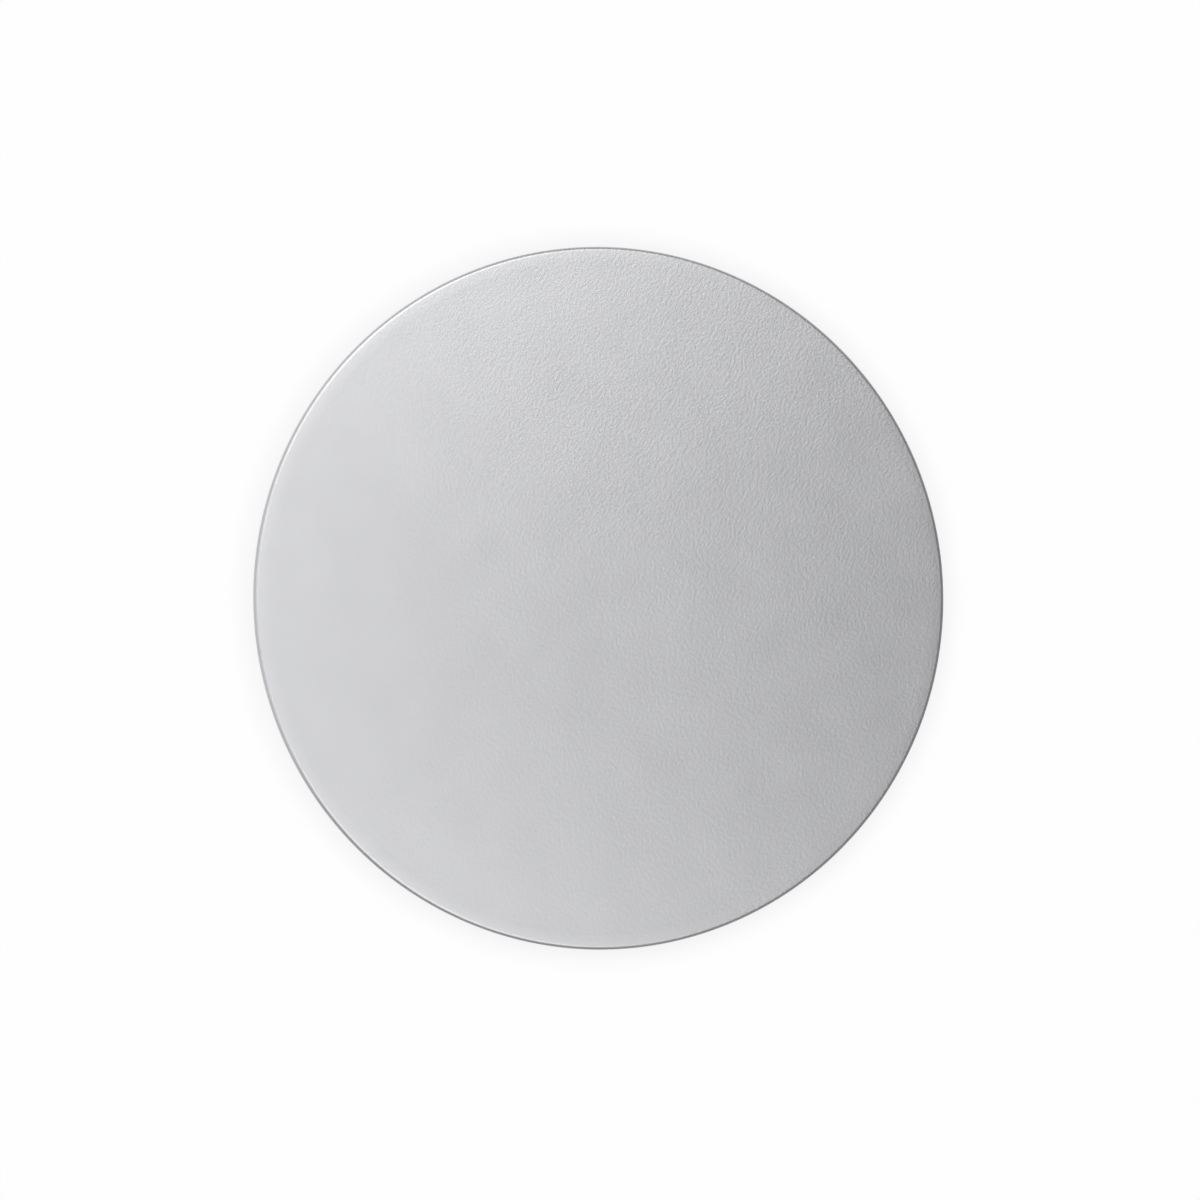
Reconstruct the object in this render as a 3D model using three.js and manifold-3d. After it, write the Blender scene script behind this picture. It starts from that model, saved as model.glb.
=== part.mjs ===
// Round cake board, 10 inch across: a stiff board disc wrapped in silver foil paper.
// The foil paper runs over the whole top and round the rim, is turned under as a hem with
// pressed tucks, and a smaller paper disc is glued over the hem's raw edge. Everything is
// bonded, so the board is one solid. Millimetres, +Z up, origin at the centre of the
// plane that the board stands on.

import * as THREE from "three";
import { mergeVertices } from "three/addons/utils/BufferGeometryUtils.js";
import Module from "manifold-3d";

// Driving dimensions
const BOARD_DIAMETER = 254;
const BOARD_THICKNESS = 4;
const TOP_EDGE_RADIUS = 1.5;
const BOTTOM_EDGE_RADIUS = 1;
const FOIL_PAPER = 0.12;
const BACKING_PAPER = 0.3;
const BACKING_INSET = 6;
const HEM_WIDTH = 14;
const HEM_EDGE_SLOPE = 1.5;
const TUCK_COUNT = 90;

// How finely the round forms are cut into flats, and how deep a tuck is let into the board
const TURN_STEPS = 180;
const TOP_EDGE_STEPS = 8;
const BOTTOM_EDGE_STEPS = 5;
const TUCK_ROOT = 0.2;

// The most of the rim's height that the lower round may take
const BOTTOM_EDGE_SHARE = 1 / 3;

// Sizes that follow from them
const rimRadius = BOARD_DIAMETER / 2;
const topFace = BOARD_THICKNESS;
const restingFace = 0;
const hemFace = restingFace + BACKING_PAPER;
const coreFace = restingFace + FOIL_PAPER;
const tuckFace = hemFace - 2 * FOIL_PAPER;
const rimHeight = topFace - hemFace;
const bottomRound = Math.min(BOTTOM_EDGE_RADIUS, rimHeight * BOTTOM_EDGE_SHARE);
const topRound = Math.min(TOP_EDGE_RADIUS, rimHeight - bottomRound);
const backingRadius = rimRadius - BACKING_INSET;
const hemInnerRadius = rimRadius - HEM_WIDTH;

const silverFoil = new THREE.MeshStandardMaterial({
  color: new THREE.Color(0.56, 0.56, 0.575),
  metalness: 0.9,
  roughness: 0.42,
});

// Points on a quarter round of the rim, from one angle to another about its centre.
function edgeRound(centreRadius, centreHeight, radius, fromAngle, toAngle, steps) {
  const points = [];
  for (let i = 0; i <= steps; i += 1) {
    const angle = fromAngle + ((toAngle - fromAngle) * i) / steps;
    points.push(
      new THREE.Vector2(
        centreRadius + radius * Math.cos(angle),
        centreHeight + radius * Math.sin(angle),
      ),
    );
  }
  return points;
}

// Half of the board's section, from the middle of the underside round the rim to the middle
// of the top. The backing paper lies on the hem, and dips to the board inside it.
function boardSection() {
  return [
    new THREE.Vector2(0, coreFace),
    new THREE.Vector2(hemInnerRadius - HEM_EDGE_SLOPE, coreFace),
    new THREE.Vector2(hemInnerRadius, restingFace),
    new THREE.Vector2(backingRadius, restingFace),
    new THREE.Vector2(backingRadius, hemFace),
    ...edgeRound(
      rimRadius - bottomRound,
      hemFace + bottomRound,
      bottomRound,
      -Math.PI / 2,
      0,
      BOTTOM_EDGE_STEPS,
    ),
    ...edgeRound(
      rimRadius - topRound,
      topFace - topRound,
      topRound,
      0,
      Math.PI / 2,
      TOP_EDGE_STEPS,
    ),
    new THREE.Vector2(0, topFace),
  ];
}

function wrappedDisc() {
  return new THREE.LatheGeometry(boardSection(), TURN_STEPS).rotateX(Math.PI / 2);
}

// Paper turned under a round edge is too long for its place: a strip that lies `inward` from
// the rim was cut on a circle as far outside it. The tucks share that surplus, and each lays
// its own share double.
function tuckWidth(inward) {
  const surplus = 4 * Math.PI * inward;
  return surplus / TUCK_COUNT / 2;
}

// One pressed tuck: two more layers of foil paper on the hem, from nothing at the rim to its
// full width where the backing paper covers it.
function tuck(angle) {
  const outerEnd = bottomRound;
  const innerEnd = BACKING_INSET + TUCK_ROOT;
  const plan = new THREE.Shape([
    new THREE.Vector2(rimRadius - innerEnd, -tuckWidth(innerEnd) / 2),
    new THREE.Vector2(rimRadius - outerEnd, -tuckWidth(outerEnd) / 2),
    new THREE.Vector2(rimRadius - outerEnd, tuckWidth(outerEnd) / 2),
    new THREE.Vector2(rimRadius - innerEnd, tuckWidth(innerEnd) / 2),
  ]);
  const depth = hemFace - tuckFace + TUCK_ROOT;
  return new THREE.ExtrudeGeometry(plan, { depth, bevelEnabled: false })
    .translate(0, 0, tuckFace)
    .rotateZ(angle);
}

// A three.js geometry as a solid that can be joined to others.
function toSolid(wasm, geometry) {
  const bare = geometry.clone();
  bare.deleteAttribute("normal");
  bare.deleteAttribute("uv");
  const merged = mergeVertices(bare, 1e-4);
  return new wasm.Manifold(
    new wasm.Mesh({
      numProp: 3,
      vertProperties: new Float32Array(merged.attributes.position.array),
      triVerts: new Uint32Array(merged.index.array),
    }),
  );
}

// A joined solid as a three.js geometry.
function toGeometry(solid) {
  const mesh = solid.getMesh();
  const geometry = new THREE.BufferGeometry();
  geometry.setAttribute("position", new THREE.BufferAttribute(mesh.vertProperties, 3));
  geometry.setIndex(new THREE.BufferAttribute(mesh.triVerts, 1));
  geometry.computeVertexNormals();
  return geometry;
}

async function boardWithTucks() {
  const wasm = await Module();
  wasm.setup();
  let board = toSolid(wasm, wrappedDisc());
  for (let i = 0; i < TUCK_COUNT; i += 1) {
    board = board.add(toSolid(wasm, tuck((2 * Math.PI * i) / TUCK_COUNT)));
  }
  return toGeometry(board);
}

const board = new THREE.Mesh(await boardWithTucks(), silverFoil);
board.name = "cake_board";

const cakeBoard = new THREE.Group();
cakeBoard.add(board);

export default cakeBoard;
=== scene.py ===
# Round silver cake board, 10 inch across, seen from above on a plain white ground. Everything is
# in metres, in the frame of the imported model: +Z up, the board standing on z = 0.

import math
import random

import bpy
import numpy as np
from mathutils import Matrix, Vector


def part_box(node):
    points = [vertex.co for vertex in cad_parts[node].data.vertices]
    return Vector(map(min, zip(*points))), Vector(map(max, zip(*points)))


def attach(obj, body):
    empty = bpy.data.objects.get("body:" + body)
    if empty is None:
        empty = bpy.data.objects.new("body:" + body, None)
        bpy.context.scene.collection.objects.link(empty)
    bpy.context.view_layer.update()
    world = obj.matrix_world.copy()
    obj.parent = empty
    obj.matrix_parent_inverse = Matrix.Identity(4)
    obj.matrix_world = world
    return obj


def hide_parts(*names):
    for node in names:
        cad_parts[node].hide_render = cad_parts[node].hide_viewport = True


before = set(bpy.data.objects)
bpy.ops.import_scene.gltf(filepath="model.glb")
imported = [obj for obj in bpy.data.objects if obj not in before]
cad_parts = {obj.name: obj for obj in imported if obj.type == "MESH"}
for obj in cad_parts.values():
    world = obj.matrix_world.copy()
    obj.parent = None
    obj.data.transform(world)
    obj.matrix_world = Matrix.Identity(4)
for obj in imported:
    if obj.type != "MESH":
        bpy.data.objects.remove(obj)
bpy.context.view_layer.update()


# The wrapped board: a disc of pressed grey board with silver foil paper glued over its top and
# rim. The paper is turned under as a hem, and its surplus is pressed into about ninety small
# tucks, no two alike. The raw edge of the hem lies under the backing paper.

MM = 0.001
board_low, board_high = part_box("cake_board")
RIM_RADIUS = (board_high.x - board_low.x) / 2
TOP = board_high.z
TOP_ROUND = 1.5 * MM
LOWER_ROUND = 1.0 * MM
FOIL_PAPER = 0.085 * MM
HEM_WIDTH = 14 * MM
HEM_EDGE = RIM_RADIUS - HEM_WIDTH
HEM_LEVEL = 0.3 * MM

# The bare board inside the hem lies one layer of paper higher
BARE_LEVEL = HEM_LEVEL + FOIL_PAPER

# The hem has so many tucks, and each strays from its even place by up to a share of the pitch.
# Then come its share of the surplus paper, its layers of paper, where it starts inside the rim,
# how much further in it has its full height, and the side it is pressed to, mostly the same.
TUCK_COUNT = 90
TUCK_STRAY = 0.24
TUCK_SHARES = (0.45, 1.7)
TUCK_LAYERS = (1.55, 2.0)
TUCK_STARTS = (0.2 * MM, 1.9 * MM)
TUCK_GROWTH = 1.4 * MM
TUCK_LEANS = (-1, 1, 1, 1)
THINNEST_TUCK = 0.3 * MM

SEED = 31
chance = random.Random(SEED)


def smooth_step(value, low, high):
    """0 below low, 1 above high, and an even curve between."""
    share = np.clip((value - low) / (high - low), 0.0, 1.0)
    return share * share * (3 - 2 * share)


def pressed_tucks():
    """Angle, width, height and start of each tuck, none of them quite even."""
    tucks = []
    for number in range(TUCK_COUNT):
        place = number + chance.uniform(-TUCK_STRAY, TUCK_STRAY)
        tucks.append({
            "angle": place * 2 * math.pi / TUCK_COUNT,
            "share": chance.uniform(*TUCK_SHARES),
            "layers": chance.uniform(*TUCK_LAYERS),
            "start": chance.uniform(*TUCK_STARTS),
            "lean": chance.choice(TUCK_LEANS),
        })
    return tucks


TUCKS = pressed_tucks()

# Stations across one tuck, as (share of its width, further offset, share of its height), and
# stations across the flat hem between two tucks, as shares of its width
TUCK_STATIONS = (
    (-0.5, -0.10 * MM, 0.0),
    (-0.5, -0.02 * MM, 0.9),
    (-0.5, 0.07 * MM, 1.0),
    (0.5, 0.0, 0.92),
    (0.5, 0.55 * MM, 0.0),
)
GAP_STATIONS = (0.25, 0.5, 0.75)


def tuck_width(tuck, inward):
    """A strip s inside the rim is 4 pi s too long, and each tuck takes up twice its width."""
    even_share = 4 * math.pi * inward / TUCK_COUNT / 2
    return max(THINNEST_TUCK, even_share * tuck["share"])


def hem_columns(radius):
    """Angles round a ring, closer where tucks fold, and the layers of tuck at each."""
    inward = RIM_RADIUS - radius
    spans = []
    for tuck in TUCKS:
        grown = float(smooth_step(inward, tuck["start"], tuck["start"] + TUCK_GROWTH))
        stations = []
        for share, offset, height in TUCK_STATIONS:
            across = tuck["lean"] * (share * tuck_width(tuck, max(inward, 0.0)) + offset)
            stations.append((tuck["angle"] + across / radius, height * grown * tuck["layers"]))
        spans.append(sorted(stations))
    angles = []
    tuck_layers = []
    for number, stations in enumerate(spans):
        following = spans[(number + 1) % TUCK_COUNT][0][0]
        if number == TUCK_COUNT - 1:
            following += 2 * math.pi
        for angle, layers in stations:
            angles.append(angle)
            tuck_layers.append(layers)
        for share in GAP_STATIONS:
            angles.append(stations[-1][0] + (following - stations[-1][0]) * share)
            tuck_layers.append(0.0)
    return np.array(angles), np.array(tuck_layers)


def even_columns():
    """The columns of the top and the rim, where the paper has no tucks."""
    return hem_columns(RIM_RADIUS)[0]


def ring(radius, height, angles):
    """One ring of points. Radius and height are numbers or arrays, one for each angle."""
    points = np.empty((len(angles), 3))
    points[:, 0] = radius * np.cos(angles)
    points[:, 1] = radius * np.sin(angles)
    points[:, 2] = height
    return points


# The foil face has faint cockles, the sum of soft waves, which die out in a band at the rim
COCKLE_DEPTH = 0.06 * MM
COCKLE_COUNT = 14
COCKLE_LENGTHS = (24 * MM, 70 * MM)
CALM_BAND = 9 * MM
FACE_RINGS = 30


def soft_waves():
    """Plane waves with chance directions, for paper that doesn't lie quite flat."""
    waves = []
    for _ in range(COCKLE_COUNT):
        heading = chance.uniform(0, 2 * math.pi)
        length = chance.uniform(*COCKLE_LENGTHS)
        phase = chance.uniform(0, 2 * math.pi)
        waves.append((math.cos(heading), math.sin(heading), length, phase))
    return waves


COCKLE_WAVES = soft_waves()


def cockle(x, y):
    """Between 0 and 1: how far the foil face lies below its highest level."""
    total = sum(
        np.sin((x * east + y * north) * 2 * math.pi / length + phase)
        for east, north, length, phase in COCKLE_WAVES
    )
    return 0.5 + 0.5 * np.tanh(total / math.sqrt(2 * COCKLE_COUNT))


def foil_top_rings():
    """The flat face, a little cockled, out to where the rim begins to turn down."""
    angles = even_columns()
    flat_radius = RIM_RADIUS - TOP_ROUND
    rings = []
    for share in np.linspace(1 / FACE_RINGS, 1, FACE_RINGS):
        radius = flat_radius * share
        calm = 1 - smooth_step(radius, flat_radius - CALM_BAND, flat_radius)
        x = radius * np.cos(angles)
        y = radius * np.sin(angles)
        rings.append(ring(radius, TOP - COCKLE_DEPTH * cockle(x, y) * calm, angles))
    return rings


# The rim's two rounds, in so many steps, and the small dents above the tucks
UPPER_ROUND_STEPS = 13
LOWER_ROUND_STEPS = 8
DENT_REACH = 0.8 * MM
DENT_DEPTH = 0.07 * MM


def dents_at_tucks(angles):
    """How far the paper is drawn in above each tuck, where the rim turns under."""
    dent = np.zeros(len(angles))
    for tuck in TUCKS:
        apart = (angles - tuck["angle"] + math.pi) % (2 * math.pi) - math.pi
        fullness = tuck["layers"] / max(TUCK_LAYERS)
        dent += np.exp(-(apart * RIM_RADIUS / DENT_REACH) ** 2) * fullness
    return DENT_DEPTH * dent


def rim_rings():
    """The upper round, the upright band and the lower round."""
    angles = even_columns()
    rings = []
    for turn in np.linspace(0, math.pi / 2, UPPER_ROUND_STEPS + 1)[1:]:
        radius = RIM_RADIUS - TOP_ROUND * (1 - math.sin(turn))
        height = TOP - TOP_ROUND * (1 - math.cos(turn))
        rings.append(ring(radius, height, angles))
    lower_start = HEM_LEVEL + LOWER_ROUND
    band = TOP - TOP_ROUND - lower_start
    rings.append(ring(RIM_RADIUS, lower_start + band / 2, angles))
    for turn in np.linspace(0, math.pi / 2, LOWER_ROUND_STEPS + 1):
        drawn_in = dents_at_tucks(angles) * math.sin(turn)
        radius = RIM_RADIUS - LOWER_ROUND * (1 - math.cos(turn)) - drawn_in
        height = lower_start - LOWER_ROUND * math.sin(turn)
        rings.append(ring(radius, height, angles))
    return rings


# Rings of the hem, by their distance inside the rim, closer where the tucks start
HEM_RINGS = [mm * MM for mm in (1.3, 1.7, 2.2, 2.8, 3.5, 4.2, 4.9, 5.5, 6.0, 7.0, 8.5, 10, 12)]

# The hem puckers where it isn't tucked: two waves round it, one of which drifts by a radian
# over a length along the radius
PUCKER_DEPTH = 0.03 * MM
PUCKER_COUNT = 37
PUCKER_DRIFT = 1.0 * MM
PUCKER_SWELL_COUNT = 23
PUCKER_SWELL_PHASE = 1.3

# From the hem's raw edge the skin steps up to the bare board over a short width. The rings
# inside that are at these shares of the edge's radius.
RAW_EDGE = 0.1 * MM
BARE_RINGS = (0.66, 0.33)


def hem_height(radius, angles, tuck_layers):
    """Level of the hem's outer face: its tucks stand out of it, down towards the table."""
    pucker = np.sin(angles * PUCKER_COUNT + radius / PUCKER_DRIFT)
    swell = np.sin(angles * PUCKER_SWELL_COUNT + PUCKER_SWELL_PHASE)
    return HEM_LEVEL + PUCKER_DEPTH * np.abs(pucker * swell) - FOIL_PAPER * tuck_layers


def hem_rings():
    """The hem with its tucks, in to its raw edge, and the bare board inside that."""
    rings = []
    for inward in HEM_RINGS + [HEM_WIDTH]:
        radius = RIM_RADIUS - inward
        angles, tuck_layers = hem_columns(radius)
        rings.append(ring(radius, hem_height(radius, angles, tuck_layers), angles))
    rings.append(ring(HEM_EDGE - RAW_EDGE, BARE_LEVEL, angles))
    for share in BARE_RINGS:
        rings.append(ring(HEM_EDGE * share, BARE_LEVEL, angles))
    return rings


def turned_mesh(name, rings, first, last):
    """A closed skin through rings of equal count, from a first point to a last one."""
    count = len(rings[0])
    points = [first] + [tuple(p) for one in rings for p in one] + [last]
    last_ring = 1 + (len(rings) - 1) * count
    faces = []
    for i in range(count):
        after = (i + 1) % count
        faces.append((0, 1 + i, 1 + after))
        faces.append((last_ring + after, last_ring + i, len(points) - 1))
    for level in range(len(rings) - 1):
        upper = 1 + level * count
        lower = upper + count
        for i in range(count):
            after = (i + 1) % count
            faces.append((upper + i, lower + i, lower + after, upper + after))
    mesh = bpy.data.meshes.new(name)
    mesh.from_pydata(points, [], faces)
    mesh.validate()
    mesh.shade_smooth()
    piece = bpy.data.objects.new(name, mesh)
    bpy.context.scene.collection.objects.link(piece)
    return piece


class Wire:
    """A socket in a tree of nodes. Sums, differences and products of values add Math nodes."""

    def __init__(self, tree, socket=None):
        self.tree = tree
        self.socket = socket

    def node(self, kind, settings, sockets, out=0):
        """Adds a node. Its settings are set first, then its sockets get values or links."""
        made = self.tree.nodes.new(kind)
        for name, value in settings.items():
            setattr(made, name, value)
        for name, value in sockets.items():
            if isinstance(value, Wire):
                self.tree.links.new(value.socket, made.inputs[name])
            else:
                made.inputs[name].default_value = value
        return Wire(self.tree, made.outputs[out] if made.outputs else None)

    def maths(self, operation, first, second):
        """A Math node on two values."""
        return self.node("ShaderNodeMath", {"operation": operation}, {0: first, 1: second})

    def __add__(self, other):
        return self.maths("ADD", self, other)

    def __radd__(self, other):
        return self.maths("ADD", other, self)

    def __sub__(self, other):
        return self.maths("SUBTRACT", self, other)

    def __rsub__(self, other):
        return self.maths("SUBTRACT", other, self)

    def __mul__(self, other):
        return self.maths("MULTIPLY", self, other)

    def __rmul__(self, other):
        return self.maths("MULTIPLY", other, self)


def new_material(name):
    """An empty material, and a wire to start its nodes from."""
    material = bpy.data.materials.new(name)
    material.use_nodes = True
    material.node_tree.nodes.clear()
    return material, Wire(material.node_tree)


def noise(start, place, feature, detail):
    """Cloudy noise with patches of about the given size in metres, around 0.5."""
    sockets = {"Vector": place, "Scale": 1 / feature, "Detail": detail, "Roughness": 0.5}
    return start.node("ShaderNodeTexNoise", {}, sockets, "Fac")


def tint(start, dark, pale, share):
    """A colour between two, by a share from 0 to 1."""
    # The Mix node's sockets for colours are its inputs 6 and 7 and its output 2
    return start.node(
        "ShaderNodeMix",
        {"data_type": "RGBA"},
        {"Factor": share, 6: (*dark, 1), 7: (*pale, 1)},
        2,
    )


def share_by_distance(start, place, middle, reach, shares):
    """Eases from the first share to the second over a reach of distances from a middle."""
    away = start.node(
        "ShaderNodeVectorMath", {"operation": "DISTANCE"}, {0: place, 1: middle}, "Value"
    )
    # Inputs 1 and 2 of Map Range are where the easing starts and ends, 3 and 4 what it gives
    return start.node(
        "ShaderNodeMapRange",
        {"interpolation_type": "SMOOTHSTEP"},
        {"Value": away, 1: reach[0], 2: reach[1], 3: shares[0], 4: shares[1]},
    )


def surface(start, shader):
    """Sends a shader to the material's output."""
    start.node("ShaderNodeOutputMaterial", {}, {"Surface": shader})


FOIL_DARK = (0.565, 0.567, 0.584)
FOIL_PALE = (0.595, 0.597, 0.614)
FOIL_GRAZING_TINT = (0.88, 0.88, 0.88)
FOIL_METALLIC = 0.92
FOIL_ROUGHNESS = 0.42
FOIL_ROUGHNESS_SPREAD = 0.05
FOIL_CLOUD_SIZE = 17 * MM

# The embossed grain, and the paper's finer fibres that show through by a share of its depth
GRAIN_PITCH = 0.95 * MM
GRAIN_DEPTH = 0.085 * MM
FOIL_FIBRE_PITCH = 0.35 * MM
FOIL_FIBRE_SHARE = 0.2

# The grain's short strokes are this much longer than wide, and run this way across the face
GRAIN_STRETCH = 1.4
GRAIN_HEADING = math.radians(57)

# The grain is pressed deepest near one side. Shares of its depth there, and this far from it
PRESSED_AT = (85 * MM, 32 * MM, TOP)
PRESSED_REACH = (0, 230 * MM)
PRESSED_SHARES = (0.86, 0.27)


def silver_foil():
    """Satin silver foil on paper, embossed with a fine leather grain and faintly clouded."""
    material, start = new_material("silver_foil")
    place = start.node("ShaderNodeTexCoord", {}, {}, "Object")
    along_strokes = start.node(
        "ShaderNodeMapping",
        {"vector_type": "TEXTURE"},
        {"Vector": place, "Rotation": (0, 0, GRAIN_HEADING), "Scale": (GRAIN_STRETCH, 1, 1)},
    )
    grain = noise(start, along_strokes, GRAIN_PITCH, detail=1.0)
    fibres = noise(start, place, FOIL_FIBRE_PITCH, detail=2.0)
    clouds = noise(start, place, FOIL_CLOUD_SIZE, detail=3.0)
    pressed = share_by_distance(start, place, PRESSED_AT, PRESSED_REACH, PRESSED_SHARES)
    height = pressed * (grain + FOIL_FIBRE_SHARE * fibres)
    emboss = start.node(
        "ShaderNodeBump", {}, {"Strength": 1.0, "Distance": GRAIN_DEPTH, "Height": height}
    )
    shader = start.node(
        "ShaderNodeBsdfPrincipled",
        {},
        {
            "Base Color": tint(start, FOIL_DARK, FOIL_PALE, clouds),
            "Metallic": FOIL_METALLIC,
            "Roughness": FOIL_ROUGHNESS + FOIL_ROUGHNESS_SPREAD * (clouds - 0.5),
            "Specular Tint": (*FOIL_GRAZING_TINT, 1),
            "Normal": emboss,
        },
    )
    surface(start, shader)
    return material


wrapped_board = turned_mesh(
    "wrapped_board",
    foil_top_rings() + rim_rings() + hem_rings(),
    (0, 0, TOP - COCKLE_DEPTH * float(cockle(0.0, 0.0))),
    (0, 0, BARE_LEVEL),
)
wrapped_board.data.materials.append(silver_foil())
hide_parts("cake_board")
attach(wrapped_board, "root")


# The backing paper: a plain white paper disc glued over the hem's raw edge. It is pressed down
# while the glue is wet, so the tucks show through it as ridges near its edge, and the hem's
# edge as a shallow step further in.

BACKING_PAPER = 0.11 * MM
BACKING_INSET = 6 * MM
BACKING_EDGE = RIM_RADIUS - BACKING_INSET
CUT_EDGE_ROUND = 0.03 * MM
GLUE_GAP = 0.01 * MM

# Between two tucks the paper bridges the hem, this many layers of foil paper off its face.
# Inside the hem's edge it dips to the bare board, between these distances from the edge.
BRIDGED_LAYERS = 0.8
DIP_START = 0.3 * MM
DIP_END = 2.5 * MM

# Rings of the disc: shares of the radius of the hem's edge, distances outward from that edge,
# and one a little inside the cut edge
INNER_RINGS = (0.3, 0.6, 0.85)
RINGS_AT_HEM_EDGE = [mm * MM for mm in (-2.6, -1.8, -1.0, -0.3, 0.5, 2, 3.5, 5, 6.5)]
LAST_FLAT_RING = BACKING_EDGE - 0.5 * MM


def backing_level(radius):
    """The ring's angles, and the level of the backing paper's upper face above the table."""
    angles, tuck_layers = hem_columns(max(radius, HEM_EDGE))
    on_hem = float(smooth_step(radius, HEM_EDGE - DIP_END, HEM_EDGE - DIP_START))
    hem = HEM_LEVEL - FOIL_PAPER * np.maximum(tuck_layers, BRIDGED_LAYERS)
    return angles, BARE_LEVEL + (hem - BARE_LEVEL) * on_hem - GLUE_GAP


def backing_rings():
    """Out along the upper face, round the cut edge and back in along the lower face."""
    radii = [HEM_EDGE * share for share in INNER_RINGS]
    radii += [HEM_EDGE + outward for outward in RINGS_AT_HEM_EDGE]
    radii += [LAST_FLAT_RING, BACKING_EDGE - CUT_EDGE_ROUND]
    upper = []
    lower = []
    for radius in radii:
        angles, level = backing_level(radius)
        upper.append(ring(radius, level, angles))
        lower.append(ring(radius, level - BACKING_PAPER, angles))
    angles, level = backing_level(BACKING_EDGE)
    cut = [
        ring(BACKING_EDGE, level - CUT_EDGE_ROUND, angles),
        ring(BACKING_EDGE, level - BACKING_PAPER + CUT_EDGE_ROUND, angles),
    ]
    return upper + cut + lower[::-1]


PAPER_DARK = (0.80, 0.795, 0.775)
PAPER_PALE = (0.88, 0.88, 0.865)
PAPER_ROUGHNESS = 0.82
PAPER_ROUGHNESS_SPREAD = 0.08
PAPER_FIBRE_PITCH = 0.5 * MM
PAPER_FIBRE_DEPTH = 0.02 * MM
PAPER_CLOUD_SIZE = 11 * MM
PAPER_CLOUD_SHARE = 0.55


def white_paper():
    """Uncoated white paper: fine fibres, faint clouds where it took up glue, and no gloss."""
    material, start = new_material("backing_paper")
    place = start.node("ShaderNodeTexCoord", {}, {}, "Object")
    fibres = noise(start, place, PAPER_FIBRE_PITCH, detail=3.0)
    clouds = noise(start, place, PAPER_CLOUD_SIZE, detail=3.0)
    flecks = PAPER_CLOUD_SHARE * clouds + (1 - PAPER_CLOUD_SHARE) * fibres
    tooth = start.node(
        "ShaderNodeBump", {}, {"Strength": 1.0, "Distance": PAPER_FIBRE_DEPTH, "Height": fibres}
    )
    shader = start.node(
        "ShaderNodeBsdfPrincipled",
        {},
        {
            "Base Color": tint(start, PAPER_DARK, PAPER_PALE, flecks),
            "Roughness": PAPER_ROUGHNESS + PAPER_ROUGHNESS_SPREAD * (clouds - 0.5),
            "Normal": tooth,
        },
    )
    surface(start, shader)
    return material


backing_middle = BARE_LEVEL - GLUE_GAP
backing_paper = turned_mesh(
    "backing_paper",
    backing_rings(),
    (0, 0, backing_middle),
    (0, 0, backing_middle - BACKING_PAPER),
)
backing_paper.data.materials.append(white_paper())
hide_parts("cake_board")
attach(backing_paper, "root")


# The studio floor: a wide plain sheet of card that the board lies on. The card is a middle
# grey, which keeps its light on the rim low, and it shows as white. It isn't part of the object.

FLOOR_SIZE = 12.0
CARD_GREY = 0.48

# Where the card shows as plain white, to the eye and in the foil: how far from a middle this
# starts and ends, and its shares there. In the foil it starts further off at the lower right,
# away from the lamps, so that there the foil mirrors the grey card: a painted shade in the
# foil's reflection, standing in for a wide soft shadow.
SEEN_MIDDLE = (0, 0, 0)
SEEN_REACH = (RIM_RADIUS, RIM_RADIUS + 10 * MM)
SEEN_SHARES = (0.86, 0.98)
MIRRORED_SHADE_MIDDLE = (36 * MM, -48 * MM, 0)
MIRRORED_REACH = (RIM_RADIUS + 5 * MM, RIM_RADIUS + 45 * MM)
MIRRORED_SHARES = (0.0, 0.95)


def any_ray(start, *kinds):
    """1 for rays of any of the given kinds, else 0."""
    found = start.node("ShaderNodeLightPath", {}, {}, kinds[0])
    for kind in kinds[1:]:
        found = start.maths("MAXIMUM", found, start.node("ShaderNodeLightPath", {}, {}, kind))
    return found


def floor_card():
    """Grey card with a soft shadow at the board. Away from it the card shows as plain white; in
    the foil's reflection it stays grey further out at the lower right, as painted shade.
    """
    material, start = new_material("floor_card")
    place = start.node("ShaderNodeTexCoord", {}, {}, "Object")
    seen = share_by_distance(start, place, SEEN_MIDDLE, SEEN_REACH, SEEN_SHARES)
    # In the foil the card stays grey further out at the lower right: painted shade in its
    # reflection.
    mirrored = share_by_distance(
        start, place, MIRRORED_SHADE_MIDDLE, MIRRORED_REACH, MIRRORED_SHARES
    )
    whiteness = (
        seen * any_ray(start, "Is Camera Ray")
        + mirrored * any_ray(start, "Is Glossy Ray", "Is Transmission Ray")
    )
    card = start.node("ShaderNodeBsdfDiffuse", {}, {"Color": (CARD_GREY,) * 3 + (1,)})
    white = start.node("ShaderNodeEmission", {}, {"Color": (1, 1, 1, 1), "Strength": 1.0})
    surface(start, start.node("ShaderNodeMixShader", {}, {0: whiteness, 1: card, 2: white}))
    return material


half_floor = FLOOR_SIZE / 2
floor_mesh = bpy.data.meshes.new("floor")
floor_mesh.from_pydata(
    [(-half_floor, -half_floor, 0), (half_floor, -half_floor, 0),
     (half_floor, half_floor, 0), (-half_floor, half_floor, 0)],
    [],
    [(0, 1, 2, 3)],
)
floor_mesh.materials.append(floor_card())
floor = bpy.data.objects.new("floor", floor_mesh)
bpy.context.scene.collection.objects.link(floor)


# The studio light: an even grey room and four wide soft lamps, above the top of the board, its
# upper left, its bottom and low at its left. Their glow is a radiance, and 1 is white.

ROOM_GLOW = 0.19
LAMP_DISTANCE = 1.5

# Name, direction round the board, angle from straight above, width, length and glow
LAMPS = (
    ("lamp_top", 97, 33, 1.2, 1.2, 1.6),
    ("lamp_upper_left", 120, 30, 1.2, 1.2, 1.05),
    ("lamp_bottom", 257, 30, 1.3, 1.3, 1.83),
    ("lamp_left", 165, 58, 3.0, 1.2, 0.89),
)


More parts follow.
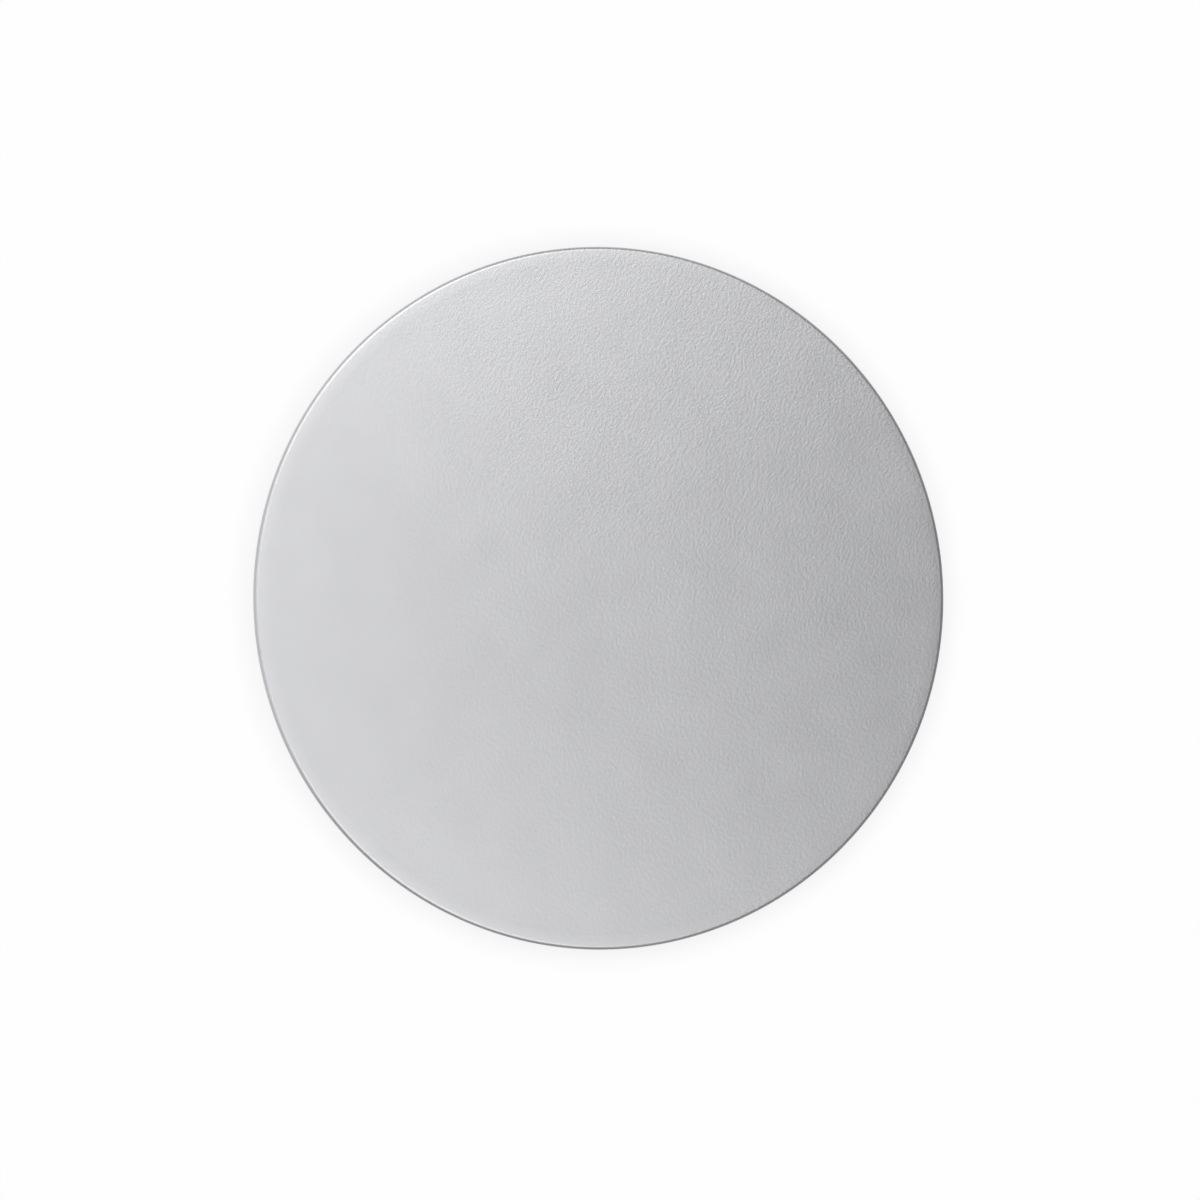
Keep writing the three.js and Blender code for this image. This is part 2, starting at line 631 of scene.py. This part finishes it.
def direction(turn, lean):
    """A unit vector, by its angle round the board and its angle from straight above."""
    turn = math.radians(turn)
    lean = math.radians(lean)
    return Vector((
        math.cos(turn) * math.sin(lean),
        math.sin(turn) * math.sin(lean),
        math.cos(lean),
    ))


def hang_lamp(name, turn, lean, width, length, glow):
    """A rectangular soft lamp that faces the board. Its power is pi times its area and glow."""
    light = bpy.data.lights.new(name, "AREA")
    light.shape = "RECTANGLE"
    light.size = width
    light.size_y = length
    light.energy = glow * math.pi * width * length
    lamp = bpy.data.objects.new(name, light)
    towards = direction(turn, lean)
    lamp.location = towards * LAMP_DISTANCE
    lamp.rotation_mode = "QUATERNION"
    lamp.rotation_quaternion = towards.to_track_quat("Z", "Y")
    lamp.visible_camera = False
    bpy.context.scene.collection.objects.link(lamp)


for lamp_facts in LAMPS:
    hang_lamp(*lamp_facts)

world = bpy.data.worlds.new("room")
world.use_nodes = True
world.node_tree.nodes.clear()
room = Wire(world.node_tree)
room_light = room.node(
    "ShaderNodeBackground", {}, {"Color": (ROOM_GLOW,) * 3 + (1,), "Strength": 1.0}
)
room.node("ShaderNodeOutputWorld", {}, {"Surface": room_light})
bpy.context.scene.world = world


# The camera looks down on the board from a little to the left of straight above. It aims a
# little to the left of the board's middle, because the near side of the rim looks larger.

CAMERA_TURN = 186
CAMERA_LEAN = 11.2
CAMERA_DISTANCE = 1.2033
AIM_RIGHT = -2.23 * MM
AIM_UP = -0.94 * MM
LENS = 100
SENSOR = 36

back = direction(CAMERA_TURN, CAMERA_LEAN)
right = Vector((0, 1, 0)).cross(back).normalized()
up = back.cross(right)
eye = Vector((0, 0, TOP)) + right * AIM_RIGHT + up * AIM_UP + back * CAMERA_DISTANCE
camera_data = bpy.data.cameras.new("camera")
camera_data.lens = LENS
camera_data.sensor_width = SENSOR
camera = bpy.data.objects.new("camera", camera_data)
facing = Matrix((right, up, back)).transposed().to_4x4()
camera.matrix_world = Matrix.Translation(eye) @ facing
bpy.context.scene.collection.objects.link(camera)
bpy.context.scene.camera = camera

bpy.context.scene.view_settings.view_transform = "Standard"
